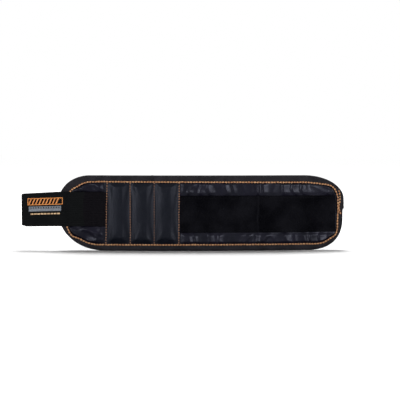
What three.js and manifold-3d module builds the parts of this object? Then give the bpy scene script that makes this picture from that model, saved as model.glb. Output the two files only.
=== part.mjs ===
import * as THREE from "three";
import { mergeVertices } from "three/addons/utils/BufferGeometryUtils.js";
import Module from "manifold-3d";

const wasm = await Module();
wasm.setup();

// Band laid flat, in millimetres: u runs along it, y goes from the outer face to the wrist, z is up
const body_length = 345;
const body_width = 90;
const end_length = 58;
const cell_length = 29;
const cell_count = 3;
const loop_link_count = 4;

// Outline: how far each corner reaches along the band and down or up its end
const left_top_reach_share = 0.66;
const left_bottom_reach_share = 0.95;
const left_top_drop_share = 0.36;
const left_bottom_drop_share = 0.5;
const right_top_reach_share = 0.98;
const right_bottom_reach_share = 0.9;
const right_top_drop_share = 0.3;
const right_bottom_drop_share = 0.45;
const round_power = 2;
const right_bottom_power = 2.5;
const corner_steps = 11;

// Sheet thicknesses and the air left between sheets that lie on each other
const layer_gap = 0.3;
const face_thickness = 0.8;
const lining_thickness = 2.7;
const lining_rim_thickness = 1.5;
const cover_thickness = 0.5;
const carrier_thickness = 0.4;
const loop_thickness = 1.4;
const strap_thickness = 1.2;
const hook_thickness = 1.5;

// Binding tape folded over the edge, with the lap where its two ends meet
const binding_width = 8.5;
const binding_thickness = 0.8;
const binding_fold_share = 0.85;
const fold_steps = 2;
const lap_height = 43;
const lap_length = 12;

// Loop strip on the outer face, a little below the band's middle
const loop_width = 44.5;
const loop_drop = 1.2;

// Closing tab: the strap's free end, a little above the band's middle, and the hook patch behind it
const tab_length = 45;
const tab_width = 40;
const tab_rise = 4.3;
const tab_corner = 2;
const hook_start = 3.5;
const hook_end_margin = 3;
const hook_drop = 1.5;
const hook_width = 39;

// Magnets of one cell, in a column on their carrier strip that fills the crown
const magnet_count = 5;
const magnet_thickness = 2;
const magnet_spacing = 1.8;
const magnet_sides = 24;
const carrier_margin = 2;
const crown_margin = 0.8;
const crown_slope_length = 6.8;
const crown_columns = 10;
const crown_rows = 14;

// Bend of the closed ring, tighter towards the far end so that the tab lands outside it, the share
// of that bend that the band keeps at rest, and the gap between neighbouring links
const ring_radius = 55.5;
const ring_spiral_share = 0.112;
const rest_share = 0.054;
const hinge_gap = 0.6;
const mitre_margin_share = 0.06;
const overrun = 5;

// Sizes that follow from the ones above
const loop_link_length = (body_length - end_length - cell_count * cell_length) / loop_link_count;
const lap_rise = binding_thickness + layer_gap;
const right_end = body_length - lap_rise;
const middle_height = body_width / 2;
const edge_inset = binding_thickness + layer_gap;
const window_inset = binding_width + layer_gap;

// Depths of the sheets, from the outer face of the fabric
const face_back = face_thickness;
const lining_front = face_back + layer_gap;
const lining_back = lining_front + lining_thickness;
const rim_back = lining_front + lining_rim_thickness;
const leg_front_inner = -layer_gap;
const leg_front_outer = leg_front_inner - binding_thickness;
const leg_back_inner = rim_back + layer_gap;
const leg_back_outer = leg_back_inner + binding_thickness;
const cover_front = -layer_gap - cover_thickness;
const carrier_front = -layer_gap - carrier_thickness;
const magnet_back = carrier_front - layer_gap;
const magnet_front = magnet_back - magnet_thickness;
const crown_front = magnet_front - layer_gap - cover_thickness;
const crown_rise = cover_front - crown_front;
const strap_front = -layer_gap - strap_thickness;
const strap_over_back = leg_front_outer - layer_gap;
const strap_over_front = strap_over_back - strap_thickness;
const hook_front = strap_over_back + layer_gap;
const pivot_depth = (strap_over_back + strap_over_front) / 2;
const pivot_u = -strap_thickness;
const deepest = Math.max(lining_back, leg_back_outer + lap_rise) + overrun;
const shallowest = Math.min(crown_front, strap_over_front) - overrun;

// The links of the band, in order along it
const links = [{ name: "end", length: end_length }];
for (let i = 1; i <= cell_count; i++) {
  links.push({ name: "cell_" + i, length: cell_length });
}
for (let i = 1; i <= loop_link_count; i++) {
  links.push({ name: "loop_" + i, length: loop_link_length });
}
let reached = 0;
for (const link of links) {
  link.from = reached;
  reached += link.length;
  link.to = reached;
}

// The angle that the hinge between two links takes up when the band is rolled into its ring
function ring_turn(first, second) {
  const place = Math.max(first.from, second.from) / body_length;
  const tightening = 1 + ring_spiral_share * (place - 1 / 2);
  return ((first.length + second.length) / 2 / ring_radius) * tightening;
}

function solid(geometry) {
  const bare = geometry.clone();
  bare.deleteAttribute("normal");
  bare.deleteAttribute("uv");
  const merged = mergeVertices(bare);
  const vertProperties = merged.attributes.position.array;
  const triVerts = new Uint32Array(merged.index.array);
  return new wasm.Manifold(new wasm.Mesh({ numProp: 3, vertProperties, triVerts }));
}

function geometry_of(manifold) {
  const mesh = manifold.getMesh();
  const geometry = new THREE.BufferGeometry();
  geometry.setAttribute("position", new THREE.BufferAttribute(mesh.vertProperties, 3));
  geometry.setIndex(new THREE.BufferAttribute(mesh.triVerts, 1));
  geometry.computeVertexNormals();
  return geometry;
}

// A quarter of a rounded corner that starts along start_angle and turns anticlockwise
function corner_points(centre_u, centre_z, reach_u, reach_z, power, start_angle) {
  const points = [];
  for (let step = 0; step <= corner_steps; step++) {
    const angle = start_angle + (step / corner_steps) * (Math.PI / 2);
    const along = Math.cos(angle);
    const up = Math.sin(angle);
    points.push(
      new THREE.Vector2(
        centre_u + reach_u * Math.sign(along) * Math.abs(along) ** (2 / power),
        centre_z + reach_z * Math.sign(up) * Math.abs(up) ** (2 / power),
      ),
    );
  }
  return points;
}

// The band's outline in u and z, moved inwards by inset
function outline(inset) {
  const left_top_reach = end_length * left_top_reach_share;
  const left_bottom_reach = end_length * left_bottom_reach_share;
  const right_top_reach = loop_link_length * right_top_reach_share;
  const right_bottom_reach = loop_link_length * right_bottom_reach_share;
  const left_top_drop = body_width * left_top_drop_share;
  const left_bottom_drop = body_width * left_bottom_drop_share;
  const right_top_drop = body_width * right_top_drop_share;
  const right_bottom_drop = body_width * right_bottom_drop_share;
  const points = [
    ...corner_points(
      right_end - right_bottom_reach,
      right_bottom_drop,
      right_bottom_reach,
      right_bottom_drop,
      right_bottom_power,
      -Math.PI / 2,
    ),
    ...corner_points(
      right_end - right_top_reach,
      body_width - right_top_drop,
      right_top_reach,
      right_top_drop,
      round_power,
      0,
    ),
    ...corner_points(
      left_top_reach,
      body_width - left_top_drop,
      left_top_reach,
      left_top_drop,
      round_power,
      Math.PI / 2,
    ),
    ...corner_points(
      left_bottom_reach,
      left_bottom_drop,
      left_bottom_reach,
      left_bottom_drop,
      round_power,
      Math.PI,
    ),
  ];
  const moved = points.map((point, i) => {
    const before = points[(i + points.length - 1) % points.length];
    const after = points[(i + 1) % points.length];
    const arriving = point.clone().sub(before).normalize();
    const leaving = after.clone().sub(point).normalize();
    const tangent = arriving.clone().add(leaving).normalize();
    const inwards = new THREE.Vector2(-tangent.y, tangent.x);
    return point.clone().addScaledVector(inwards, inset / tangent.dot(arriving));
  });
  return new THREE.Shape(moved);
}

// A sheet with the given shape in u and z, between two depths, its rim rounded by round
function sheet(shape, front, back, round = 0) {
  const geometry = new THREE.ExtrudeGeometry(shape, {
    depth: back - front - 2 * round,
    bevelEnabled: round > 0,
    bevelThickness: round,
    bevelSize: round,
    bevelOffset: -round,
    bevelSegments: fold_steps,
  });
  geometry.rotateX(Math.PI / 2);
  geometry.translate(0, back - round, 0);
  return solid(geometry);
}

// A prism with the given shape in u and y, between two heights
function prism(shape, bottom, top) {
  const geometry = new THREE.ExtrudeGeometry(shape, { depth: top - bottom, bevelEnabled: false });
  geometry.translate(0, 0, bottom);
  return solid(geometry);
}

function box(from, to, front, back, bottom, top) {
  const geometry = new THREE.BoxGeometry(to - from, back - front, top - bottom);
  geometry.translate((from + to) / 2, (front + back) / 2, (bottom + top) / 2);
  return solid(geometry);
}

// The room of one link: straight ends on the outer side, ends mitred for the ring on the wrist side
function room(index, bottom = -overrun, top = body_width + overrun) {
  const link = links[index];
  const before = links[index - 1];
  const after = links[index + 1];
  const half_gap = hinge_gap / 2;
  const from = before ? link.from + half_gap : link.from - overrun - tab_length;
  const to = after ? link.to - half_gap : link.to + overrun;
  const mitre_share = (1 + mitre_margin_share) / 2;
  const left_mitre = before ? Math.tan(ring_turn(before, link) * mitre_share) : 0;
  const right_mitre = after ? Math.tan(ring_turn(link, after) * mitre_share) : 0;
  const shape = new THREE.Shape([
    new THREE.Vector2(from, 0),
    new THREE.Vector2(from, shallowest),
    new THREE.Vector2(to, shallowest),
    new THREE.Vector2(to, 0),
    new THREE.Vector2(to - deepest * right_mitre, deepest),
    new THREE.Vector2(from + deepest * left_mitre, deepest),
  ]);
  return prism(shape, bottom, top);
}

// The folded tape all round, or the space inside it, lifted off the layers that it covers
function tape_outside(front_rise, back_rise, edge_rise) {
  return sheet(
    outline(-edge_rise),
    leg_front_outer - front_rise,
    leg_back_outer + back_rise,
    binding_thickness * binding_fold_share,
  );
}

function tape_inside(front_rise, back_rise, edge_rise) {
  return sheet(
    outline(binding_thickness - edge_rise),
    leg_front_inner - front_rise,
    leg_back_inner + back_rise,
  );
}

const tape_window = sheet(outline(binding_width), shallowest, deepest);
const tape_core = tape_inside(0, 0, 0);
const tape = tape_outside(0, 0, 0).subtract(tape_core).subtract(tape_window);
const cell_tape_rise = cover_thickness + layer_gap;
const cell_tape = tape_outside(cell_tape_rise, 0, 0)
  .subtract(tape_inside(cell_tape_rise, 0, 0))
  .subtract(tape_window);

// The lap: the upper tape steps out over the end of the lower one
const lap_outside = tape_outside(lap_rise, lap_rise, lap_rise);
const lap_tape = lap_outside
  .subtract(tape_inside(lap_rise, lap_rise, lap_rise))
  .subtract(tape_window);
const lap_step = lap_outside.subtract(tape_core).subtract(tape_window);

function lower_end_tape(index) {
  return tape.intersect(room(index, -overrun, lap_height + lap_length));
}

function upper_end_tape(index) {
  const step_bottom = lap_height + lap_length + layer_gap;
  const step_top = step_bottom + binding_thickness;
  const step_middle = (step_bottom + step_top) / 2;
  return tape
    .intersect(room(index, step_bottom))
    .add(lap_step.intersect(room(index, step_bottom, step_top)))
    .add(lap_tape.intersect(room(index, lap_height, step_middle)));
}

// Fabric of the outer face and the lining, thinner where the tape clamps its rim
const face_sheet = sheet(outline(edge_inset), 0, face_back);
const lining_sheet = sheet(outline(edge_inset), lining_front, rim_back).add(
  sheet(outline(window_inset), lining_front, lining_back),
);
const loop_bottom = middle_height - loop_drop - loop_width / 2;
const loop_strip = sheet(outline(window_inset), -layer_gap - loop_thickness, -layer_gap).intersect(
  box(
    end_length + cell_count * cell_length,
    body_length,
    shallowest,
    deepest,
    loop_bottom,
    loop_bottom + loop_width,
  ),
);

// A cell's cover: a flat hem all round and a crown that is full over the magnets
const magnet_row = body_width - 2 * (window_inset + crown_slope_length + crown_margin);
const magnet_pitch = (magnet_row + magnet_spacing) / magnet_count;
const magnet_diameter = magnet_pitch - magnet_spacing;

function swell(distance, flat, end) {
  const fall = Math.min(Math.max((end - distance) / (end - flat), 0), 1);
  return Math.sin((fall * Math.PI) / 2);
}

function cell_cover(link) {
  const from = link.from + hinge_gap / 2;
  const to = link.to - hinge_gap / 2;
  const half_length = (to - from) / 2;
  const half_window = middle_height - window_inset;
  const half_height = middle_height - edge_inset;
  const geometry = new THREE.BoxGeometry(1, 1, 1, crown_columns, 1, crown_rows);
  const points = geometry.attributes.position;
  for (let i = 0; i < points.count; i++) {
    const across = points.getX(i) * 2 * half_length;
    const row = Math.round((points.getZ(i) + 1 / 2) * crown_rows);
    const inner_row = Math.min(Math.max(row - 1, 0), crown_rows - 2);
    const on_hem = row === 0 || row === crown_rows;
    const window_up = (inner_row / (crown_rows - 2)) * 2 * half_window - half_window;
    const up = on_hem ? Math.sign(row - 1) * half_height : window_up;
    const full_across = swell(Math.abs(across), magnet_diameter / 2 + crown_margin, half_length);
    const full_up = swell(Math.abs(up), magnet_row / 2 + crown_margin, half_window);
    const rise = crown_rise * full_across * full_up;
    const sheet_depth = cover_front + (points.getY(i) + 1 / 2) * cover_thickness;
    points.setXYZ(i, (from + to) / 2 + across, sheet_depth - rise, middle_height + up);
  }
  return solid(geometry);
}

function magnet_carrier(link) {
  const middle = (link.from + link.to) / 2;
  const half_width = magnet_diameter / 2 + carrier_margin;
  const half_height = magnet_row / 2 + crown_margin;
  return box(
    middle - half_width,
    middle + half_width,
    carrier_front,
    -layer_gap,
    middle_height - half_height,
    middle_height + half_height,
  );
}

function magnet(link, place) {
  const radius = magnet_diameter / 2;
  const geometry = new THREE.CylinderGeometry(radius, radius, magnet_thickness, magnet_sides);
  const height = middle_height + (place - (magnet_count + 1) / 2) * magnet_pitch;
  geometry.translate((link.from + link.to) / 2, (magnet_front + magnet_back) / 2, height);
  return solid(geometry);
}

// The strap where it is sewn down: it climbs over the tape and ends short of the tab's pivot
const tab_bottom = middle_height + tab_rise - tab_width / 2;
const tab_top = tab_bottom + tab_width;

function strap_anchor() {
  const tip = pivot_u + strap_thickness / 2 + layer_gap;
  const under_strap = box(-overrun, end_length, shallowest, deepest, tab_bottom, tab_top);
  const over_end = tape.intersect(under_strap).boundingBox().max[0] + layer_gap;
  const drop = strap_front - strap_over_front;
  const front_over_end = over_end + drop / 2;
  const shape = new THREE.Shape([
    new THREE.Vector2(tip, strap_over_front),
    new THREE.Vector2(front_over_end, strap_over_front),
    new THREE.Vector2(front_over_end + drop, strap_front),
    new THREE.Vector2(end_length, strap_front),
    new THREE.Vector2(end_length, -layer_gap),
    new THREE.Vector2(over_end + drop, -layer_gap),
    new THREE.Vector2(over_end, strap_over_back),
    new THREE.Vector2(tip, strap_over_back),
  ]);
  return prism(shape, tab_bottom, tab_top).intersect(room(0));
}

// A tab sheet in u and z, with small round corners at its free end
function tab_shape(from, to, bottom, top, corner) {
  const shape = new THREE.Shape();
  shape.moveTo(to, bottom);
  shape.lineTo(to, top);
  shape.lineTo(from + corner, top);
  shape.absarc(from + corner, top - corner, corner, Math.PI / 2, Math.PI, false);
  shape.absarc(from + corner, bottom + corner, corner, Math.PI, (3 * Math.PI) / 2, false);
  return shape;
}

// The free end of the strap, with a round root about the pivot
function tab_strap() {
  const half_thickness = strap_thickness / 2;
  const root = new THREE.Shape();
  root.moveTo(-tab_length, pivot_depth - half_thickness);
  root.lineTo(pivot_u, pivot_depth - half_thickness);
  root.absarc(pivot_u, pivot_depth, half_thickness, -Math.PI / 2, Math.PI / 2, false);
  root.lineTo(-tab_length, pivot_depth + half_thickness);
  const shape = tab_shape(-tab_length, overrun, tab_bottom, tab_top, tab_corner);
  return prism(root, tab_bottom, tab_top).intersect(sheet(shape, shallowest, deepest));
}

function hook_patch() {
  const bottom = tab_bottom - hook_drop;
  const from = -tab_length + hook_end_margin;
  const shape = tab_shape(from, pivot_u - hook_start, bottom, bottom + hook_width, tab_corner);
  return sheet(shape, hook_front, hook_front + hook_thickness);
}

const finishes = {
  fabric: { color: 0x25272e, roughness: 0.75, metalness: 0 },
  lining: { color: 0x141418, roughness: 0.95, metalness: 0 },
  tape: { color: 0x2a282c, roughness: 0.85, metalness: 0 },
  loop: { color: 0x0e0e11, roughness: 1, metalness: 0 },
  strap: { color: 0x161618, roughness: 0.6, metalness: 0 },
  magnet: { color: 0xb9bcc2, roughness: 0.3, metalness: 1 },
  carrier: { color: 0xd8d8d4, roughness: 0.6, metalness: 0 },
};
const materials = {};
for (const [name, finish] of Object.entries(finishes)) {
  materials[name] = new THREE.MeshStandardMaterial(finish);
}

// Puts a flat-laid solid in its link's group as a named mesh
function piece(group, name, manifold, finish) {
  const mesh = new THREE.Mesh(geometry_of(manifold), materials[finish]);
  mesh.name = name;
  group.add(mesh);
}

// A group that turns about an upright line through (u, depth) and holds flat-laid pieces
function turned_group(parent, name, u, depth, turn) {
  const pivot = new THREE.Group();
  pivot.position.set(u, depth, 0);
  pivot.rotation.z = turn;
  const laid = new THREE.Group();
  laid.name = name;
  laid.position.set(-u, -depth, 0);
  pivot.add(laid);
  parent.add(pivot);
  return laid;
}

// The links hang on the last cell, each turned a little towards the wrist
const root_index = cell_count;
const band = new THREE.Group();
band.name = "wristband";
const root_middle = (links[root_index].from + links[root_index].to) / 2;
const band_middle = (body_length - tab_length) / 2;
const groups = [];
groups[root_index] = turned_group(
  band,
  "link_" + links[root_index].name,
  root_middle,
  0,
  ((root_middle - band_middle) / ring_radius) * rest_share,
);
for (let i = root_index + 1; i < links.length; i++) {
  const turn = ring_turn(links[i - 1], links[i]) * rest_share;
  groups[i] = turned_group(groups[i - 1], "link_" + links[i].name, links[i].from, 0, turn);
}
for (let i = root_index - 1; i >= 0; i--) {
  const turn = ring_turn(links[i], links[i + 1]) * rest_share;
  groups[i] = turned_group(groups[i + 1], "link_" + links[i].name, links[i].to, 0, -turn);
}
const tab_turn = ring_turn({ from: -tab_length, length: tab_length }, links[0]) * rest_share;
const tab_group = turned_group(groups[0], "link_tab", pivot_u, pivot_depth, -tab_turn);

links.forEach((link, i) => {
  const group = groups[i];
  const is_cell = i >= 1 && i <= cell_count;
  const is_last = i === links.length - 1;
  const link_room = room(i);
  piece(group, "face_fabric_" + link.name, face_sheet.intersect(link_room), "fabric");
  piece(group, "mesh_lining_" + link.name, lining_sheet.intersect(link_room), "lining");
  if (i === 0) {
    piece(group, "binding_tab_end", tape.intersect(link_room), "tape");
  } else if (is_last) {
    piece(group, "binding_far_end_upper", upper_end_tape(i), "tape");
    piece(group, "binding_far_end_lower", lower_end_tape(i), "tape");
  } else {
    const link_tape = is_cell ? cell_tape : tape;
    const upper = link_tape.intersect(room(i, middle_height));
    const lower = link_tape.intersect(room(i, -overrun, middle_height));
    piece(group, "binding_top_" + link.name, upper, "tape");
    piece(group, "binding_bottom_" + link.name, lower, "tape");
  }
  if (is_cell) {
    piece(group, "cell_cover_" + i, cell_cover(link), "fabric");
    piece(group, "magnet_carrier_" + i, magnet_carrier(link), "carrier");
    for (let place = 1; place <= magnet_count; place++) {
      piece(group, "magnet_" + i + "_" + place, magnet(link, place), "magnet");
    }
  } else if (i > cell_count) {
    piece(group, "loop_strip_" + (i - cell_count), loop_strip.intersect(link_room), "loop");
  }
});
piece(groups[0], "strap_anchor", strap_anchor(), "strap");
piece(tab_group, "tab_strap", tab_strap(), "strap");
piece(tab_group, "hook_patch", hook_patch(), "loop");

// The origin is the middle of the bottom of the whole band
band.updateMatrixWorld(true);
const extent = new THREE.Box3().setFromObject(band, true);
band.position.set(-(extent.min.x + extent.max.x) / 2, -(extent.min.y + extent.max.y) / 2, -extent.min.z);

export default band;
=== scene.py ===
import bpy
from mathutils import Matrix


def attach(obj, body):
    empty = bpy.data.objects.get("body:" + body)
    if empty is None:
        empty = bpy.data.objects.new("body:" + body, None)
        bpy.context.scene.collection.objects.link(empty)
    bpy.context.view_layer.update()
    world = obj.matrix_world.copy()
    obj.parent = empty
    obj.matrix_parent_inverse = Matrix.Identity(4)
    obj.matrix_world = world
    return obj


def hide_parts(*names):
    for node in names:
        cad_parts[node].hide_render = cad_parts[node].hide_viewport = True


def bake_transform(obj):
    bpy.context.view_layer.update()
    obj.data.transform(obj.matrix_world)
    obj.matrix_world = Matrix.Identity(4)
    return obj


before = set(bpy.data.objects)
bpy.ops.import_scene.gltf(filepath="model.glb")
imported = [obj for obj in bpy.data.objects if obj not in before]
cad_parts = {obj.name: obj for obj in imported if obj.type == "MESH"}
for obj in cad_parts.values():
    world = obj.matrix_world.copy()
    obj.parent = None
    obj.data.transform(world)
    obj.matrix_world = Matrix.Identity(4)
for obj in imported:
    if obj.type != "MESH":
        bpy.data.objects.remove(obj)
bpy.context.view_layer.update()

import math

import bpy
import numpy as np
from mathutils import Vector
from mathutils.kdtree import KDTree

MM = 0.001

# The band laid flat, in millimetres: u along it, y from the outer face to the wrist, z up
WIDTH, MIDDLE = 90.0, 45.0
TAB_TIP, END_U, CREASE_U = -45.0, 58.0, 239.8
CELLS_U, CELL_LENGTH = (58.0, 87.0, 116.0, 145.0), 29.0
CELL_LOW, CELL_HIGH = 8.0, 82.0
STRIP_U, STRIP_Z = (146.6, 334.8), (21.6, 65.7)
STRAP_Z, STRAP_CUT = (29.3, 69.3), 30.0
PATCH_U, PATCH_Z = (-42.0, -4.9), (27.8, 66.8)
TAB_CORNER = 2.0

# Depths: the cells' cover, the backs and faces of the layers, and the rise of the tape over the cells and in its lap
CROWN, CHANNEL, COVER_THICK = -3.95, -0.7, 0.5
FACE_BACK, PAD_FRONT, STRIP_BACK = 0.75, 1.1, -0.3
STRIP_FACE, STRAP_FACE, STRAP_THICK, TAB_FACE = -1.75, -1.55, 1.15, -2.62
PATCH_FRONT, PATCH_BACK = -1.32, -0.5
TAPE_FRONT, TAPE_BACK, TAPE_WIDTH = -1.1, 3.7, 22.0
CELL_RISE, LAP_RISE, LAP_REACH, LAP_RAMP = 0.8, 1.1, 34.0, 24.0

# ---------------------------------------------------------------- the links at rest

LINKS = ("end", "cell_1", "cell_2", "cell_3", "loop_1", "loop_2", "loop_3", "loop_4")
HINGE_U = np.array([58.0, 87.0, 116.0, 145.0, 195.0, 245.0, 295.0])
HINGE_X = np.array([-91.7983, -62.8779, -33.9095, -4.9147, 45.0761, 94.9602, 144.6130])
HINGE_Y = np.array([-5.7559, -7.9030, -9.2559, -9.8061, -8.8504, -5.4470, 0.4351])
HEADING = np.radians([-6.5808, -4.2459, -2.6741, -1.0871, 1.0953, 3.9030, 6.7560, 9.6542])
CUTS = np.array([72.5, 101.5, 130.5, 170.0, 220.0, 270.0])
DEAD = 1.5
BEND_FROM = np.array([43.5, *(CUTS + DEAD)])
BEND_TO = np.array([*(CUTS - DEAD), 318.5])
TAB_U, TAB_Y = -1.2, -2.0
TAB_PLACE = np.array([-150.8375, -0.9582])
TAB_TURN = math.radians(-2.7102)
TAB_BEND_FROM, TAB_BEND_TO = 5.0, -4.4


def smooth(t):
    t = np.clip(t, 0.0, 1.0)
    return t * t * (3 - 2 * t)


def lay(u, y, z, on_tab=False):
    """Places of flat points in the frame, in metres."""
    u, y, z = np.broadcast_arrays(np.asarray(u, float), np.asarray(y, float), np.asarray(z, float))
    k = np.searchsorted(CUTS, u)
    w = smooth((u - BEND_FROM[k]) / (BEND_TO[k] - BEND_FROM[k]))
    turn = HEADING[k] + w * (HEADING[k + 1] - HEADING[k])
    along = u - HINGE_U[k]
    px = HINGE_X[k] + along * np.cos(turn) - y * np.sin(turn)
    py = HINGE_Y[k] + along * np.sin(turn) + y * np.cos(turn)
    if on_tab:
        w = smooth((u - TAB_BEND_FROM) / (TAB_BEND_TO - TAB_BEND_FROM)) * TAB_TURN
        dx, dy = px - TAB_PLACE[0], py - TAB_PLACE[1]
        px = TAB_PLACE[0] + dx * np.cos(w) - dy * np.sin(w)
        py = TAB_PLACE[1] + dx * np.sin(w) + dy * np.cos(w)
    return np.stack([px, py, z], -1) * MM


def bend(obj, part):
    """Bakes a piece's place into its mesh; part is the hinge that it crosses, 'tab' the tab's fold."""
    if part == "tab":
        a, b = lay(TAB_BEND_FROM, TAB_Y, MIDDLE), lay(TAB_BEND_TO, TAB_Y, MIDDLE)
        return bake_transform(obj)
    a, b = lay(BEND_FROM[part], 0, MIDDLE), lay(BEND_TO[part], 0, MIDDLE)
    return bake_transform(obj)


# ---------------------------------------------------------------- smooth noise and humps

def hashed(a, b, seed):
    n = (a * 374761393 + b * 668265263 + seed * 974634777) & 0x7FFFFFFF
    n = ((n ^ (n >> 13)) * 1274126177) & 0x7FFFFFFF
    return ((n ^ (n >> 16)) & 0xFFFF) / 32767.5 - 1.0


def noise(x, y, seed):
    """Smooth noise from -1 to 1 with features about one unit wide."""
    x, y = np.broadcast_arrays(np.asarray(x, float), np.asarray(y, float))
    xi, yi = np.floor(x).astype(np.int64), np.floor(y).astype(np.int64)
    fx, fy = smooth(x - xi), smooth(y - yi)
    low = hashed(xi, yi, seed) * (1 - fx) + hashed(xi + 1, yi, seed) * fx
    high = hashed(xi, yi + 1, seed) * (1 - fx) + hashed(xi + 1, yi + 1, seed) * fx
    return low * (1 - fy) + high * fy


def creases(x, y, seed):
    """Noise with sharp ridges, from 0 to 1."""
    return 1 - np.abs(noise(x, y, seed))


def near(x, centre, half):
    """A smooth hump, 1 at the centre and 0 beyond half."""
    return smooth(1 - np.abs(np.asarray(x, float) - centre) / half)


def window(x, low, high, ramp):
    """1 between low and high, but for a ramp inside each of them, and 0 outside."""
    return smooth((x - low) / ramp) * smooth((high - x) / ramp)


def over_cells(u):
    """Where the tape lies on the cells' cover."""
    return window(u, END_U - 5.0, CELLS_U[3] + 5.0, 7.0)


def mound(u, z, cu, cz, half_u, half_z, skew=0.0):
    return np.exp(-((u - cu + skew * (z - cz)) / half_u) ** 2 - ((z - cz) / half_z) ** 2)


# ---------------------------------------------------------------- the outline

def corner(cu, cz, reach, power, start):
    """A rounded corner about its centre: the quarter turn from the angle start, taken clockwise."""
    a = start + np.linspace(0, math.pi / 2, 240)
    c, s = np.cos(a), np.sin(a)
    return np.stack([cu + reach[0] * np.sign(c) * np.abs(c) ** (2 / power),
                     cz + reach[1] * np.sign(s) * np.abs(s) ** (2 / power)], -1)[::-1]


RIGHT_END = 343.9
RIGHT_TOP, RIGHT_BOTTOM = (49.0, 27.0), (45.0, 40.5)
LEFT_TOP, LEFT_BOTTOM = (38.28, 32.4), (55.1, 45.0)
# Clockwise from the middle of the far end: down, along the bottom, up round the tab end, back along the top
raw = np.concatenate([
    [[RIGHT_END, MIDDLE]],
    corner(RIGHT_END - RIGHT_BOTTOM[0], RIGHT_BOTTOM[1], RIGHT_BOTTOM, 2.5, -math.pi / 2),
    corner(LEFT_BOTTOM[0], LEFT_BOTTOM[1], LEFT_BOTTOM, 2, math.pi),
    corner(LEFT_TOP[0], WIDTH - LEFT_TOP[1], LEFT_TOP, 2, math.pi / 2),
    corner(RIGHT_END - RIGHT_TOP[0], WIDTH - RIGHT_TOP[1], RIGHT_TOP, 2, 0.0),
    [[RIGHT_END, MIDDLE]],
])
step = np.linalg.norm(np.diff(raw, axis=0), axis=1)
raw = raw[np.concatenate([[True], step > 1e-6])]
run = np.concatenate([[0], np.cumsum(np.linalg.norm(np.diff(raw, axis=0), axis=1))])
ROUND = run[-1]
fine_s = np.linspace(0, ROUND, 3200)
fine = np.stack([np.interp(fine_s, run, raw[:, i]) for i in (0, 1)], -1)


def on_outline(s):
    """Point and inward normal of the outline at the distance s round it."""
    s = np.asarray(s, float)
    point, ahead, behind = (np.stack([np.interp(at % ROUND, run, raw[:, i]) for i in (0, 1)], -1)
                            for at in (s, s + 0.8, s - 0.8))
    t = ahead - behind
    t /= np.linalg.norm(t, axis=-1, keepdims=True)
    return point, np.stack([t[..., 1], -t[..., 0]], -1)


tree = KDTree(len(fine))
for i, (a, b) in enumerate(fine):
    tree.insert((a, b, 0), i)
tree.balance()


def depth_in(u, z):
    """Distance of flat points inside the outline, and where round it they are nearest."""
    u, z = np.broadcast_arrays(np.asarray(u, float), np.asarray(z, float))
    found = [tree.find((a, b, 0)) for a, b in zip(u.ravel(), z.ravel())]
    d = np.array([f[2] for f in found]).reshape(u.shape)
    s = fine_s[np.array([f[1] for f in found])].reshape(u.shape)
    return d, s


# Points of the tape's stitch line round the two ends
STITCH_PLACES = [
    (303, 7.6), (319.2, 8.8), (327.6, 13.6), (335.2, 18.8), (336.4, 22.5), (336.9, 33), (337.4, 44), (337.2, 56),
    (336.2, 67), (332.5, 74.5), (328.5, 77.4), (318, 79.4), (307.2, 80.6), (54.9, 7.2), (37.9, 8.6), (27, 13.6),
    (21.5, 15.6), (17.4, 17.0), (13.6, 21.6), (10.6, 29.4), (8.6, 45), (9.6, 58), (12.6, 68.0), (24.0, 76.6),
    (34.8, 81.8), (50, 82.6),
]
inset_s, inset_d = np.array(sorted((float(s), float(d)) for d, s in [depth_in(a, b) for a, b in STITCH_PLACES])).T


def stitch_inset(s):
    """Distance of the tape's stitch line from the edge, at the distance s round it."""
    return np.interp(np.asarray(s, float) % ROUND, [inset_s[-1] - ROUND, *inset_s, inset_s[0] + ROUND],
                     [inset_d[-1], *inset_d, inset_d[0]])


# ---------------------------------------------------------------- mesh helpers

def make(name, verts, faces, uvs, material, normals=None):
    """A smooth mesh object from places in metres, with uvs for each vertex and, if given, normals for each corner."""
    mesh = bpy.data.meshes.new(name)
    mesh.from_pydata([tuple(v) for v in verts], [], [tuple(f) for f in faces])
    mesh.update()
    if uvs is not None:
        layer = mesh.uv_layers.new(name="flat")
        corners = np.zeros(len(mesh.loops), np.int32)
        mesh.loops.foreach_get("vertex_index", corners)
        layer.data.foreach_set("uv", np.asarray(uvs, np.float32)[corners].ravel())
    mesh.polygons.foreach_set("use_smooth", [True] * len(mesh.polygons))
    if normals is not None:
        mesh.normals_split_custom_set([tuple(n) for n in normals])
    obj = bpy.data.objects.new(name, mesh)
    bpy.context.scene.collection.objects.link(obj)
    mesh.materials.append(material)
    return obj


def joined(name, parts, material):
    """One mesh object from many small closed meshes, each given by its places, faces and uvs."""
    count, all_faces = 0, []
    for places, faces, _ in parts:
        all_faces += [[count + v for v in face] for face in faces]
        count += len(places)
    places, _, uvs = zip(*parts)
    return make(name, np.concatenate(places), all_faces, np.concatenate(uvs), material)


def flat_uv(u, z):
    return np.stack([u, z], -1).reshape(-1, 2) * MM


def unit(v):
    return v / np.maximum(np.linalg.norm(v, axis=-1, keepdims=True), 1e-12)


def grid_quads(nu, nz):
    """Vertex numbers of a grid, and the faces between them."""
    idx = np.arange(nu * nz).reshape(nu, nz)
    return idx, np.stack([idx[:-1, :-1], idx[1:, :-1], idx[1:, 1:], idx[:-1, 1:]], -1).reshape(-1, 4)


def closed_faces(nu, nz):
    """Faces of a sheet of two grids of vertices: its front, its back and its four rims."""
    idx, front = grid_quads(nu, nz)
    off, turned = nu * nz, [0, 3, 2, 1]
    faces = [front, front[:, turned] + off]
    for line, turn in ((idx[:, 0], True), (idx[:, -1], False), (idx[0], False), (idx[-1], True)):
        rim = np.stack([line[:-1], line[1:], line[1:] + off, line[:-1] + off], -1)
        faces.append(rim[:, turned] if turn else rim)
    return np.concatenate(faces)


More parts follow.
